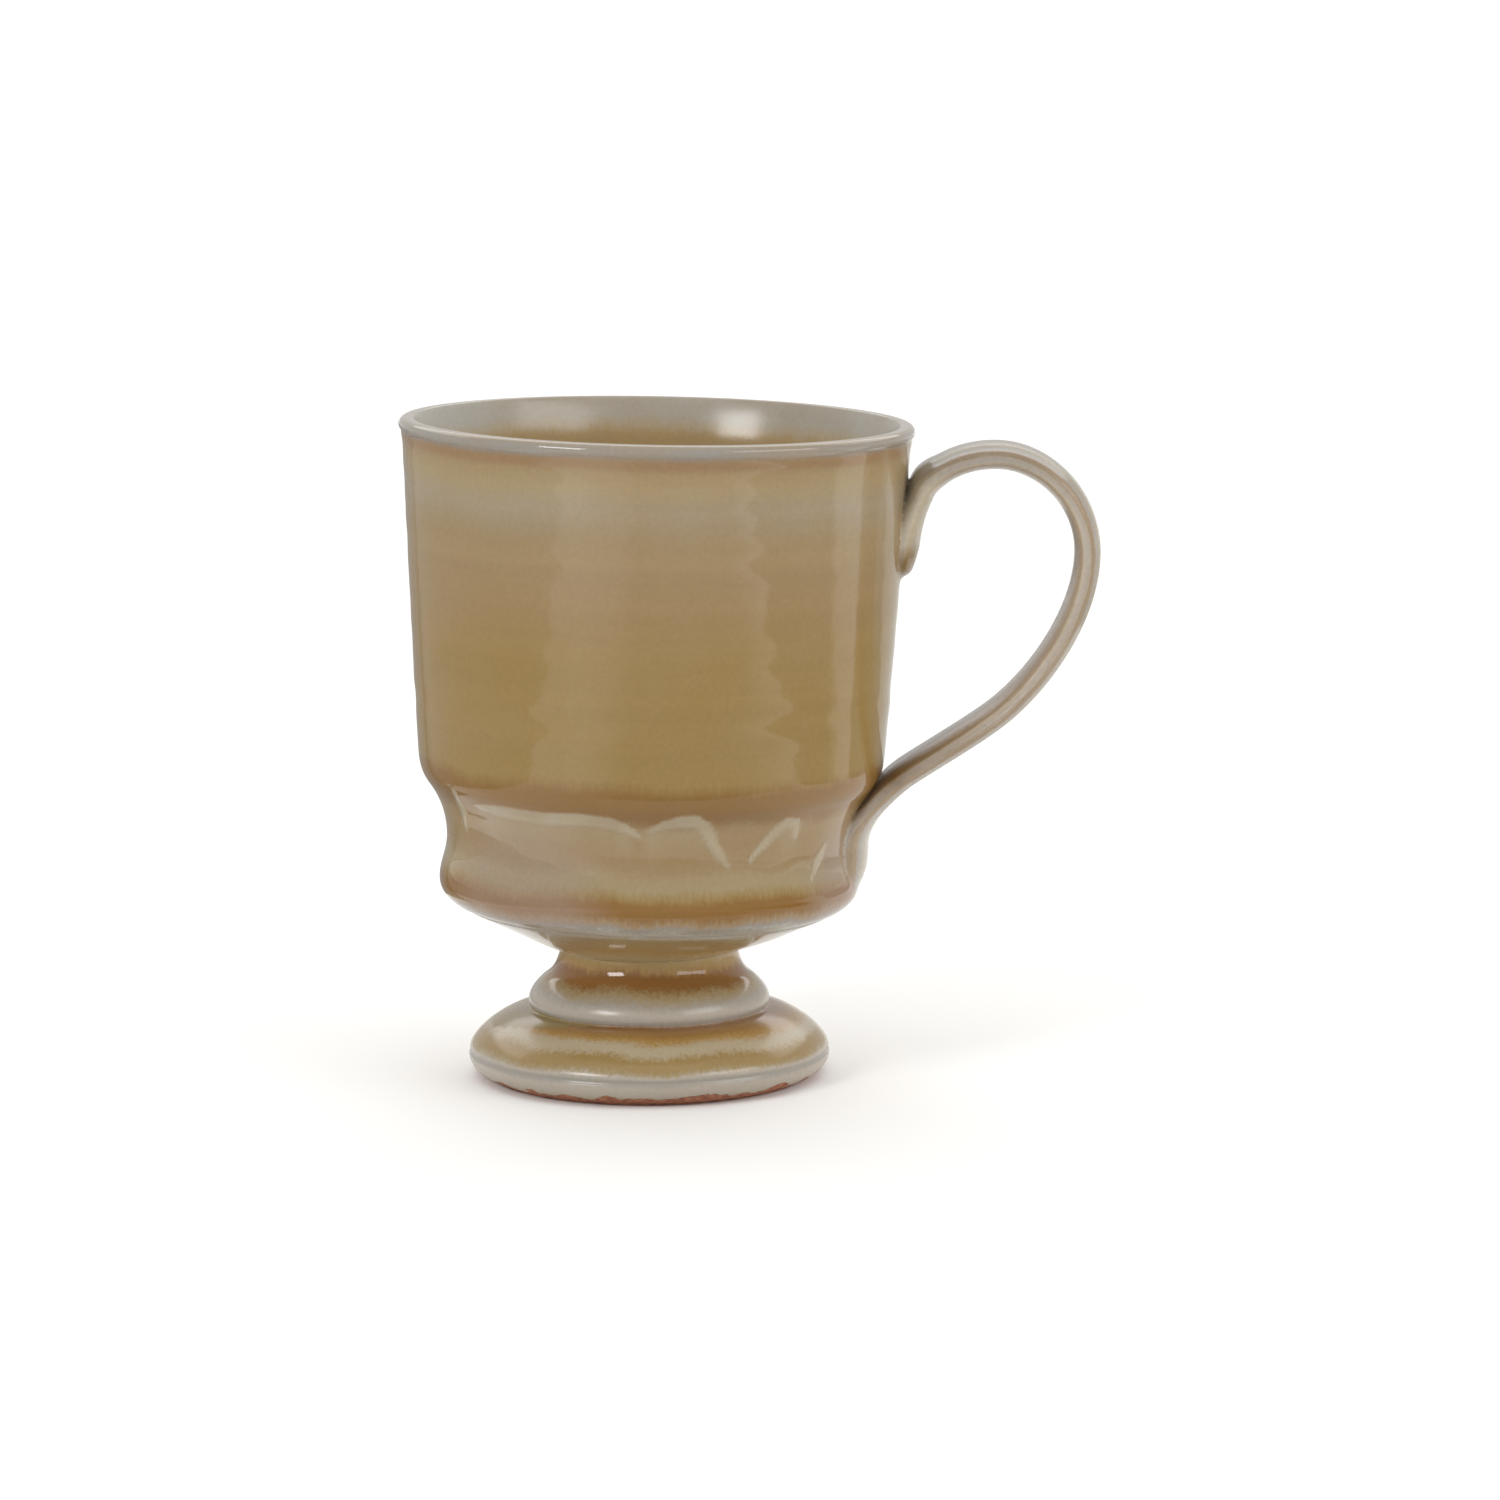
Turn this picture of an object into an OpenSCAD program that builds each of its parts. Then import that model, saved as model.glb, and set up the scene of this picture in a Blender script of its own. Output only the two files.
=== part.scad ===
/* [Bowl] */
// outer width of the rolled lip, mm
rim_diameter = 90; // [84:0.5:96]
// height of the lip above the table, on the bowl's own axis, mm
mug_height = 115.9; // [108:0.1:124]
// how far the bowl leans towards the handle on its stem, degrees
bowl_lean = 1.3; // [0:0.01:2]
// how far the bowl sits off the foot's axis, towards the handle, mm
bowl_offset = 0.1; // [0:0.1:1]
// how far the wall falls back inside the lip, mm
lip_proud = 0.75; // [0.3:0.05:1.2]
// clay thickness at the lip, mm
lip_thickness = 2.7; // [2.4:0.1:3.2]
// clay thickness of the collar, the firm part of the wall some way under the lip, mm
collar_thickness = 4.4; // [3.8:0.1:4.8]
// clay thickness down the straight wall, mm
wall_thickness = 3.6; // [3:0.1:4.6]
// outer width where the straight wall ends, mm
shoulder_diameter = 81.8; // [79:0.5:84]
// height where the straight wall ends, mm
shoulder_height = 57.4; // [55:0.1:60]
// outer width of the waist under the shoulder, mm
waist_diameter = 71.6; // [69:0.2:73]
// outer width of the low belly, mm
belly_diameter = 73.9; // [72:0.2:76]
// height of the belly's widest line, mm
belly_height = 35; // [34:0.1:36.5]
// how far the waist's narrowest line lies above the belly's widest, mm
waist_rise = 6.8; // [5.5:0.1:8]
// thickness of the bowl's floor over the stem, mm
floor_thickness = 6.6; // [5:0.1:8]

/* [Pedestal] */
// outer width of the neck below the bowl, mm
neck_diameter = 31.7; // [29:0.1:34]
// height where the bowl meets the neck, mm
neck_height = 22.7; // [21.5:0.1:23.5]
// outer width of the turned bead on the stem, mm
bead_diameter = 42.6; // [40:0.2:44]
// height of the bead's lower edge, mm
bead_height = 12.2; // [11.6:0.1:13]
// widest line of the foot, mm
foot_diameter = 63.7; // [58:0.1:70]
// height of the foot's widest line, mm
foot_edge_height = 4.2; // [3.4:0.1:5]
// width of the flat ring the mug stands on, mm
foot_ring_width = 3.4; // [2.4:0.1:4.5]
// depth of the fine lines cut round the foot edge and under the belly, mm
line_depth = 0.3; // [0.1:0.05:0.4]

/* [Handle] */
// how far the middle of the strap stands out from the bowl's axis, mm
handle_reach = 75.4; // [68:0.1:82]
// height of the middle of the strap at its crown, mm
handle_crown = 111.2; // [108.5:0.1:113]
// width of the strap, mm
handle_width = 15.2; // [12:0.2:18]
// thickness of the strap, mm
handle_thickness = 4.7; // [4:0.1:5.6]
// width of the pressed root under the rim, mm
top_root_width = 17; // [14:0.2:20]
// width of the pressed pad at the lower end, mm
pad_width = 22; // [17:0.2:24]
// depth of the two pulled grooves along the strap's outer face, mm
groove_depth = 0.45; // [0.1:0.05:0.7]
// how far out these grooves lie, as a share of half the strap's width
groove_place = 0.74; // [0.3:0.01:0.8]
// depth of the line pressed along each edge of the strap, mm
edge_line_depth = 0.3; // [0.05:0.05:0.4]
// width of the small finger print pressed in the pad, mm
print_diameter = 4.8; // [3:0.1:6]
// turn of the handle round the mug, towards the viewer, degrees
handle_turn = 2; // [0:0.5:6]

/* [Look] */
// glaze colour
glaze = "#A68D68"; // color

/* [Hidden] */
$fn = 144;

rim_r = rim_diameter / 2;
shoulder_r = shoulder_diameter / 2;
waist_r = waist_diameter / 2;
belly_r = belly_diameter / 2;
neck_r = neck_diameter / 2;
bead_r = bead_diameter / 2;
foot_r = foot_diameter / 2;
waist_height = belly_height + waist_rise;
// round outer roll of the lip and the tighter round of its inner corner
lip_roll = 1.15;
roll_at = [rim_r - lip_roll, mug_height - lip_roll - 0.05];
lip_corner = 0.5;
corner_at = [rim_r - lip_thickness + lip_corner, mug_height - lip_corner];
// lean of the inner wall just under the lip, from upright, degrees
lip_flare = 25;
// the bowl leans about this height on the stem
lean_height = 30;
// wall radius just under the lip, and the height of the small hollow there
wall_top_r = rim_r - lip_proud;
wall_top = mug_height - 4.4;
// where the underside of the belly turns in towards the neck
turn_r = belly_r - 4;
turn_height = belly_height - 5;
// inner floor of the bowl
floor_height = neck_height + floor_thickness;
// standing ring
ring_out = foot_r - 4.1;
ring_in = ring_out - foot_ring_width;

function mix(a, b, t) = a + (b - a) * t;
// points of a cubic curve, without its last point
function curve(a, b, c, d, n) = [for (i = [0 : n - 1]) let (t = i / n, s = 1 - t)
    s * s * s * a + 3 * s * s * t * b + 3 * s * t * t * c + t * t * t * d];
// points of a round arc in the profile plane
function arc(c, r, a0, a1, n) = [for (i = [0 : n]) let (a = mix(a0, a1, i / n))
    c + r * [cos(a), sin(a)]];

// two guides that give the straight wall its slight swell
wall_low = [mix(shoulder_r, wall_top_r, 0.39), mix(shoulder_height, wall_top, 0.33)];
wall_high = [mix(shoulder_r, wall_top_r, 0.74), mix(shoulder_height, wall_top, 0.66)];
inward = [wall_thickness, 0];
// places on the inner wall at the waist and at the shoulder
inner_waist = [waist_r - wall_thickness - 0.3, waist_height + 3.4];
inner_shoulder = [shoulder_r - wall_thickness - 0.3, shoulder_height + 1];
// the collar's inner side, and where the flared inner wall meets the lip
inner_collar = [mix(shoulder_r, wall_top_r, 0.83) - collar_thickness, wall_top - 11.5];
inner_lip = corner_at + lip_corner * [-cos(lip_flare), sin(lip_flare)];

// outer side of the bowl from the neck up to the lip
function bowl_outer() = concat(
    [[neck_r - 2, neck_height - 0.8]],
    curve([neck_r, neck_height], [neck_r + 6, neck_height + 2.2],
        [turn_r - 6, turn_height - 2.6], [turn_r - 0.5, turn_height - 0.1], 6),
    [[turn_r - 0.5, turn_height - 0.1], [turn_r - line_depth, turn_height + line_depth + 0.1]],
    curve([turn_r + 0.5, turn_height + 0.4], [belly_r - 1.2, turn_height + 1.6],
        [belly_r, belly_height - 2], [belly_r, belly_height], 6),
    curve([belly_r, belly_height], [belly_r, belly_height + 2.4],
        [waist_r, waist_height - 2.6], [waist_r, waist_height], 6),
    curve([waist_r, waist_height], [waist_r, waist_height + 5.6],
        [shoulder_r - 3, shoulder_height - 6.9], [shoulder_r - 1.5, shoulder_height - 4.9], 7),
    curve([shoulder_r - 1.5, shoulder_height - 4.9], [shoulder_r - 0.5, shoulder_height - 3.5],
        [shoulder_r - 0.1, shoulder_height - 1.8], [shoulder_r, shoulder_height], 5),
    curve([shoulder_r, shoulder_height], wall_low, wall_high, [wall_top_r, wall_top], 9),
    curve([wall_top_r, wall_top], [wall_top_r + 0.05, wall_top + 0.5],
        [rim_r - 0.38, mug_height - 2.7], [rim_r - 0.45, mug_height - 2.15], 4),
    [[rim_r - 0.45, mug_height - 2.15]],
    arc(roll_at, lip_roll, -40, 90, 8),
    [[corner_at[0], mug_height]]);

// inner side of the bowl from the middle of the floor up to the lip
function bowl_inner() = concat(
    curve([0, floor_height], [turn_r * 0.5, floor_height],
        [belly_r - 6.4, floor_height + 1.2], [belly_r - 4.4, belly_height + 2], 9),
    curve([belly_r - 4.4, belly_height + 2], [belly_r - 4, belly_height + 4],
        inner_waist - [0.3, 3.4], inner_waist, 4),
    curve(inner_waist, inner_waist + [0.3, 3.2], inner_shoulder - [0.6, 5.5], inner_shoulder, 5),
    curve(inner_shoulder, wall_low - inward,
        wall_high - [mix(wall_thickness, collar_thickness, 0.5), 0], inner_collar, 8),
    curve(inner_collar, inner_collar + [0.2, 8.5],
        inner_lip - 2.3 * [sin(lip_flare), cos(lip_flare)], inner_lip, 8),
    arc(corner_at, lip_corner, 180 - lip_flare, 90, 4));

// outer side of the pedestal from the standing ring up to the neck
function pedestal_outer() = concat(
    [[ring_out, 0]],
    curve([foot_r - 3.2, 0.5], [foot_r - 1.6, 1.1], [foot_r, 2.2], [foot_r, foot_edge_height - 0.2], 6),
    [[foot_r, foot_edge_height - 0.1], [foot_r - line_depth, foot_edge_height + 0.5]],
    curve([foot_r - 0.1, foot_edge_height + 1], [foot_r - 0.9, foot_edge_height + 3.4],
        [foot_r - 4.9, foot_edge_height + 6.4], [bead_r + 2.6, bead_height - 0.7], 9),
    [[bead_r + 2.6, bead_height - 0.7], [bead_r - 0.7, bead_height]],
    curve([bead_r - 0.1, bead_height + 0.9], [bead_r + 0.3, bead_height + 2.6],
        [bead_r - 1.8, bead_height + 4.8], [neck_r + 1.8, bead_height + 6.1], 8),
    curve([neck_r + 1.8, bead_height + 6.1], [neck_r + 0.6, bead_height + 7.2],
        [neck_r, neck_height - 2.6], [neck_r, neck_height - 1], 5),
    [[neck_r, neck_height - 1], [neck_r, neck_height + 3.2]]);

// hollow turned out of the pedestal from below
function pedestal_inner() = concat(
    [[ring_in, -1], [ring_in, 0]],
    curve([ring_in - 0.4, 1], [ring_in - 2, 6], [neck_r + 0.4, bead_height - 3.4],
        [bead_r - 6.6, bead_height + 1.4], 7),
    curve([bead_r - 6.6, bead_height + 1.4], [neck_r - 3, bead_height + 4.4],
        [neck_r - 5.4, neck_height - 3.2], [0, neck_height - 1.4], 7));

module bowl() {
    rotate_extrude() polygon(concat([[0, neck_height - 0.8]], bowl_outer(), [[0, mug_height]]));
}
module bowl_cavity() {
    rotate_extrude() polygon(concat(bowl_inner(), [[corner_at[0], mug_height + 2], [0, mug_height + 2]]));
}
module pedestal() {
    rotate_extrude() polygon(concat([[0, 0]], pedestal_outer(), [[0, neck_height + 3.2]]));
}
module pedestal_hollow() {
    rotate_extrude() polygon(concat([[0, -1]], pedestal_inner(), [[0, neck_height - 1.4]]));
}

// middle line of the pulled strap in its own plane, as distance from the axis and height
tail_start = [wall_top_r - 2.45, handle_crown - 21.6];
root_bend = [wall_top_r + 2.1, handle_crown - 7.4];
crown = [handle_reach - 16.1, handle_crown];
outermost = [handle_reach, handle_crown - 17];
sweep_mid = [handle_reach - 15.45, shoulder_height + 8.1];
low_join = [shoulder_r + 3.9, shoulder_height - 2.4];
pad_middle = [waist_r + 0.25, waist_height + 0.4];
pad_end = [belly_r - 2.4, belly_height - 2.4];
leg_steps = 9;
path = concat(
    curve(tail_start, tail_start + [2.1, 2.8], root_bend - [3.5, 7], root_bend, leg_steps),
    curve(root_bend, root_bend + [1.1, 4.5], crown - [6.1, 0], crown, leg_steps),
    curve(crown, crown + [8, 0], outermost + [0, 9.9], outermost, leg_steps),
    curve(outermost, outermost - [0, 10.9], sweep_mid + [7.4, 5.9], sweep_mid, leg_steps),
    curve(sweep_mid, sweep_mid - [4.6, 3.6], low_join + [4.2, 3], low_join, leg_steps - 3),
    curve(low_join, low_join - [3.5, 2.7], pad_middle + [0.05, 4.6], pad_middle, leg_steps),
    curve(pad_middle, pad_middle - [0, 2.8], pad_end + [1.7, 3.6], pad_end, leg_steps - 2),
    [pad_end]);
last = len(path) - 1;
join_step = 5 * leg_steps - 3;
pad_step = join_step + leg_steps;
strap_half = handle_thickness / 2;
// half thickness and half width of the strap, by step along its path
step_thickness = [[0, 1], [1.5, 2.3], [4.5, 2.65], [7, 2.3], [9, 2], [12, 2.45], [16, strap_half + 0.05],
    [26, strap_half - 0.05], [38, strap_half + 0.1], [join_step + 2, 2.4], [join_step + 5, 2.25],
    [pad_step, 2.45], [pad_step + 3, 2.3], [last - 2, 1.7], [last, 0.8]];
step_width = [[0, 3], [1.5, top_root_width * 0.36], [4, top_root_width / 2], [9, top_root_width / 2],
    [15, handle_width / 2], [38, handle_width / 2], [join_step + 2, pad_width * 0.38],
    [pad_step - 2, pad_width / 2], [last - 4, pad_width / 2], [last - 1.5, pad_width * 0.38], [last, 4]];
// how much the strap bends round the wall, and the clay smoothed in under the rim
step_wrap = [[0, 1], [7, 1], [14, 0], [38, 0], [join_step + 2, 0.6], [pad_step - 2, 1], [last, 1]];
step_fill = [[5, 0], [9, 0.9], [11, 0.9], [13, 0]];
section_steps = 48;
roundness = 0.84;
// half width of the grooves, and where the edge line lies below the middle of the edge, as shares
groove_spread = 0.1;
edge_line_place = 0.12;
edge_line_spread = 0.2;

function step_dir(i) = let (d = path[min(i + 1, last)] - path[max(i - 1, 0)]) d / norm(d);
function power(v) = sign(v) * pow(abs(v), roundness);
// one across a dip's middle, falling to nothing beside it
function dip(x, spread) = exp(-pow(x / spread, 2));
// how far the grooves have begun: nothing at the joins, all of them where the strap is free
function in_hand(i) = min(1, max(0, (i - 8) / 6)) * min(1, max(0, (last - 8 - i) / 6));
// two grooves run along the outer face of the strap, and a finer line along each of its edges
function groove(side) = groove_depth * dip(abs(side) - groove_place, groove_spread);
function edge_line(rise) = edge_line_depth * dip(rise + edge_line_place, edge_line_spread);
function strap_point(i, k) = let (
    dir = step_dir(i),
    out = [-dir[1], dir[0]],
    a = 360 * k / section_steps,
    side = power(sin(a)),
    rise = power(cos(a)),
    v = lookup(i, step_width) * side - (abs(side) > 0.5 ? sign(side) * edge_line(rise) * in_hand(i) : 0),
    cut = cos(a) > 0.05 ? groove(side) * in_hand(i) : 0,
    fill = cos(a) > 0 ? lookup(i, step_fill) * cos(a) : 0,
    h = lookup(i, step_thickness) * rise - cut + fill,
    p = path[i] + h * out)
    [p[0] - lookup(i, step_wrap) * v * v / (2 * p[0]), v, p[1]];
strap_points = [for (i = [0 : last], k = [0 : section_steps - 1]) strap_point(i, k)];
strap_faces = concat(
    [[for (k = [section_steps - 1 : -1 : 0]) k]],
    [for (i = [0 : last - 1], k = [0 : section_steps - 1]) let (
        a = i * section_steps + k, b = i * section_steps + (k + 1) % section_steps)
        [a, b, b + section_steps, a + section_steps]],
    [[for (k = [0 : section_steps - 1]) last * section_steps + k]]);
module strap() {
    rotate([0, 0, -handle_turn]) polyhedron(points = strap_points, faces = strap_faces, convexity = 6);
}

// round print pressed in the near shoulder of the pad
print_depth = 0.55;
print_ball = (print_diameter * print_diameter / 4 + print_depth * print_depth) / (2 * print_depth);
print_turn = 14.5;
print_face = [waist_r + 2.25, waist_height - 2.6];
module finger_print() {
    rotate([0, 0, -handle_turn - print_turn]) translate([print_face[0], 0, print_face[1]])
        rotate([0, 0, -18]) translate([print_ball - print_depth, 0, 0]) sphere(r = print_ball);
}

module leaning() {
    translate([bowl_offset, 0, lean_height]) rotate([0, bowl_lean, 0])
        translate([0, 0, -lean_height]) children();
}
module mug() {
    color(glaze) difference() {
        union() {
            pedestal();
            leaning() {
                bowl();
                strap();
            }
        }
        leaning() bowl_cavity();
        leaning() finger_print();
        pedestal_hollow();
    }
}

mug();
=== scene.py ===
import math

import bpy
import numpy as np
from mathutils import Matrix, Vector
from mathutils.kdtree import KDTree


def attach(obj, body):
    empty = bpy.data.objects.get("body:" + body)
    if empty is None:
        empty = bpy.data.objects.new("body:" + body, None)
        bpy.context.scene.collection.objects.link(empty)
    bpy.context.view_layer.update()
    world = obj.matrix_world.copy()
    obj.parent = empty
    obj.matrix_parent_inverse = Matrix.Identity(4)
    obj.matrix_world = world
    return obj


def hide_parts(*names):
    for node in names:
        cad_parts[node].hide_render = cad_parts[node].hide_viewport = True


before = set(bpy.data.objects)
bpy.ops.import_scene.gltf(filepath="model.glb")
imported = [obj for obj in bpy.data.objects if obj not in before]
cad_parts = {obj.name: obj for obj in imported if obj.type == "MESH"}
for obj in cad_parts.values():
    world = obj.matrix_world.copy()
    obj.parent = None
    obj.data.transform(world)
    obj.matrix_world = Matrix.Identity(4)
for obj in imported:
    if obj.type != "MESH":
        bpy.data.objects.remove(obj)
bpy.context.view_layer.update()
mm = 0.001

# Sizes of the thrown body, mm; a pair is the distance from the axis and the height
thrown = {
    "segments": 304,
    "rimRadius": 44.985,
    "height": 115.9,
    "lip": 2.7,             # thickness of the lip
    "lipRoll": 1.15,        # its round outer side
    "lipCorner": 0.5,       # and the tighter round of its inner edge
    "lipFlare": 25,         # degrees that the inner wall leans out just under it
    "wall": 3.6,
    "collar": 4.4,          # the thicker wall some way under the lip
    "wallTop": (44.25, 111.5),
    "shoulder": (40.9, 57.4),
    "waist": (35.8, 41.8),
    "belly": (36.95, 35.0),
    "turn": (32.95, 30.0),  # where the underside of the belly turns in, at a fine line
    "neck": (15.85, 22.7),
    "bead": (21.3, 12.2),
    "foot": (31.85, 4.2),
    "floorHeight": 29.3,
    "ringOut": 27.75,       # the flat ring that the mug stands on
    "ringIn": 24.35,
    "lean": 1.3,            # degrees, towards the handle
    "leanHeight": 30.0,
    "leanBegins": 22.4,     # the stem takes up the lean between these two heights
    "leanWhole": 26.5,
    "shift": 0.1,
    "fingerRings": 0.055,   # how far the potter's finger rings swell
    # the pitch, start and share of the three waves that the rings are made of
    "ringWaves": [(9.3, 0.6, 1.0), (5.6, 2.1, 0.7), (15.5, 0.0, 0.5)],
    # how strong the rings are everywhere, and the height, reach and extra where the hand pressed harder
    "ringsLight": 0.35,
    "ringsFirm": [(102, 6, 0.8), (71, 5, 0.7)],
    "outOfRound": 0.12,
    # degrees round the mug, depth and half width in degrees of each dent pinched in the waist
    "dents": [(-93, 0.28, 5), (-64, 0.35, 7), (-43, 0.3, 6), (-143, 0.35, 7), (-118, 0.12, 8),
              (176, 0.25, 8), (148, 0.2, 7), (112, 0.3, 9), (71, 0.25, 7), (38, 0.3, 8)],
}


def bend(a, b, c, d, steps):
    # a smooth curve through the profile plane, without its last point
    t = (np.arange(steps) / steps)[:, None]
    s = 1 - t
    a, b, c, d = (np.array(p, float) for p in (a, b, c, d))
    return (s**3 * a + 3 * s * s * t * b + 3 * s * t * t * c + t**3 * d).tolist()


def bow(centre, radius, start, stop, steps):
    # a round arc through the profile plane, in degrees
    turn = np.radians(np.linspace(start, stop, steps + 1))
    return [[centre[0] + radius * math.cos(a), centre[1] + radius * math.sin(a)] for a in turn]


def between(a, b, t):
    return [a[0] + (b[0] - a[0]) * t[0], a[1] + (b[1] - a[1]) * t[1]]


def innerProfile(p):
    # from the middle of the bowl's floor up to the lip
    wall, top, shoulder, waist, belly = p["wall"], p["wallTop"], p["shoulder"], p["waist"], p["belly"]
    floor = p["floorHeight"]
    knee = [belly[0] - 4.4, belly[1] + 2]
    narrow = [waist[0] - wall - 0.3, waist[1] + 3.4]
    spread = [shoulder[0] - wall - 0.3, shoulder[1] + 1]
    low, high = between(shoulder, top, (0.39, 0.33)), between(shoulder, top, (0.74, 0.66))
    collar = [between(shoulder, top, (0.83, 0))[0] - p["collar"], top[1] - 11.5]
    corner = [p["rimRadius"] - p["lip"] + p["lipCorner"], p["height"] - p["lipCorner"]]
    flare = math.radians(p["lipFlare"])
    brink = [corner[0] - p["lipCorner"] * math.cos(flare), corner[1] + p["lipCorner"] * math.sin(flare)]
    guide = [brink[0] - 2.3 * math.sin(flare), brink[1] - 2.3 * math.cos(flare)]
    return (
        bend([0, floor], [p["turn"][0] * 0.5, floor], [belly[0] - 6.4, floor + 1.2], knee, 18)
        + bend(knee, [belly[0] - 4, belly[1] + 4], [waist[0] - wall - 0.6, waist[1]], narrow, 6)
        + bend(narrow, [waist[0] - wall, waist[1] + 6.6],
               [shoulder[0] - wall - 0.9, shoulder[1] - 4.5], spread, 9)
        + bend(spread, [low[0] - wall, low[1]], [high[0] - (wall + p["collar"]) / 2, high[1]], collar, 24)
        + bend(collar, [collar[0] + 0.2, collar[1] + 8.5], guide, brink, 14)
        + bow(corner, p["lipCorner"], 180 - p["lipFlare"], 90, 5)
    )


def outerProfile(p):
    # from the lip down the wall, the waist, the stem and the foot to the standing ring
    top, shoulder, waist, belly, turn = p["wallTop"], p["shoulder"], p["waist"], p["belly"], p["turn"]
    neck, bead, foot = p["neck"], p["bead"], p["foot"]
    rim, height, roll = p["rimRadius"], p["height"], p["lipRoll"]
    step = [shoulder[0] - 1.5, shoulder[1] - 4.9]
    brow = [neck[0] + 1.8, bead[1] + 6.1]
    skirt = [bead[0] + 2.6, bead[1] - 0.7]
    return (
        bow([rim - roll, height - roll - 0.05], roll, 90, -40, 11)
        + bend([rim - 0.45, height - 2.15], [rim - 0.38, height - 2.7],
               [top[0] + 0.05, top[1] + 0.5], top, 6)
        + bend(top, between(shoulder, top, (0.74, 0.66)), between(shoulder, top, (0.39, 0.33)), shoulder, 42)
        + bend(shoulder, [shoulder[0] - 0.1, shoulder[1] - 1.8],
               [shoulder[0] - 0.5, shoulder[1] - 3.5], step, 7)
        + bend(step, [shoulder[0] - 3, shoulder[1] - 6.9], [waist[0], waist[1] + 5.6], waist, 22)
        + bend(waist, [waist[0], waist[1] - 2.6], [belly[0], belly[1] + 2.4], belly, 8)
        + bend(belly, [belly[0], belly[1] - 2], [belly[0] - 1.2, turn[1] + 1.6],
               [turn[0] + 0.6, turn[1] + 0.55], 8)
        + [[turn[0] + 0.2, turn[1] + 0.45], [turn[0] - 0.25, turn[1] + 0.35], [turn[0] - 0.5, turn[1]]]
        + bend([turn[0] - 1, turn[1] - 0.25], [turn[0] - 6, turn[1] - 2.6],
               [neck[0] + 6, neck[1] + 2.2], neck, 13)
        + bend(neck, [neck[0] - 0.1, neck[1] - 1.2], [neck[0] + 0.6, bead[1] + 7.2], brow, 7)
        + bend(brow, [bead[0] - 1.8, bead[1] + 4.8], [bead[0] + 0.3, bead[1] + 2.6],
               [bead[0] - 0.1, bead[1] + 0.9], 10)
        + [[bead[0] - 0.15, bead[1] + 0.55], [bead[0] - 0.4, bead[1] + 0.2], [bead[0] - 0.3, bead[1] - 0.02]]
        + [[bead[0] + 0.3, bead[1] - 0.08], [bead[0] + 1.3, bead[1] - 0.3]]
        + bend(skirt, [foot[0] - 4.9, foot[1] + 6.4], [foot[0] - 0.9, foot[1] + 3.4],
               [foot[0] - 0.1, foot[1] + 1.1], 13)
        + [[foot[0] - 0.15, foot[1] + 0.85], [foot[0] - 0.36, foot[1] + 0.6]]
        + [[foot[0] - 0.36, foot[1] + 0.3], [foot[0] - 0.08, foot[1] + 0.05]]
        + bend([foot[0], foot[1] - 0.2], [foot[0], 2.2], [foot[0] - 1.6, 1.1], [foot[0] - 3.2, 0.5], 9)
        + [[foot[0] - 3.2, 0.5], [p["ringOut"] + 0.35, 0.12], [p["ringOut"] - 0.2, 0.0]]
    )


def hollowProfile(p):
    # the hollow turned out of the pedestal, from the standing ring to its top
    neck, bead = p["neck"], p["bead"]
    throat = [bead[0] - 6.6, bead[1] + 1.4]
    return (
        [[p["ringIn"] + 0.3, 0.0], [p["ringIn"] + 0.05, 0.1], [p["ringIn"], 0.35]]
        + bend([p["ringIn"] - 0.3, 1], [p["ringIn"] - 2, 6], [neck[0] + 0.4, bead[1] - 3.4], throat, 10)
        + bend(throat, [neck[0] - 3, bead[1] + 4.4], [neck[0] - 5.4, neck[1] - 3.2], [0, neck[1] - 1.4], 10)
        + [[0, neck[1] - 1.4]]
    )


def fade(value, low, high):
    # rises softly from 0 at low to 1 at high
    t = np.clip((value - low) / (high - low), 0, 1)
    return t * t * (3 - 2 * t)


def leanMatrix(p):
    # the bowl leans about a point on the stem's axis, in mm
    turn = Matrix.Rotation(math.radians(p["lean"]), 4, "Y")
    pivot = Matrix.Translation((0, 0, -p["leanHeight"]))
    return Matrix.Translation((p["shift"], 0, p["leanHeight"])) @ turn @ pivot


def moved(points, matrix):
    m = np.array(matrix)
    return points @ m[:3, :3].T + m[:3, 3]


def getPoints(piece):
    points = np.zeros(len(piece.data.vertices) * 3)
    piece.data.vertices.foreach_get("co", points)
    return points.reshape(-1, 3) / mm


def setPoints(piece, points):
    piece.data.vertices.foreach_set("co", (points * mm).ravel())
    piece.data.update()


def throwBody(p):
    # the section is drawn point by point, then spun round the axis
    profile = np.array(innerProfile(p) + outerProfile(p) + hollowProfile(p))
    bpy.ops.object.select_all(action="DESELECT")
    bpy.ops.mesh.primitive_plane_add(size=mm)
    body = bpy.context.object
    body.name = body.data.name = "stonewareMug"
    bpy.ops.object.mode_set(mode="EDIT")
    bpy.ops.mesh.select_all(action="SELECT")
    bpy.ops.mesh.merge(type="CENTER")
    bpy.ops.transform.translate(value=(profile[0][0] * mm, 0, profile[0][1] * mm))
    for step in np.diff(profile, axis=0) * mm:
        bpy.ops.mesh.extrude_region_move(TRANSFORM_OT_translate={"value": (step[0], 0, step[1])})
    bpy.ops.mesh.select_all(action="SELECT")
    bpy.ops.mesh.spin(steps=p["segments"], angle=2 * math.pi, center=(0, 0, 0), axis=(0, 0, 1))
    bpy.ops.mesh.select_all(action="SELECT")
    bpy.ops.mesh.remove_doubles(threshold=0.004 * mm)
    bpy.ops.mesh.normals_make_consistent(inside=False)
    bpy.ops.object.mode_set(mode="OBJECT")
    return body


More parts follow.
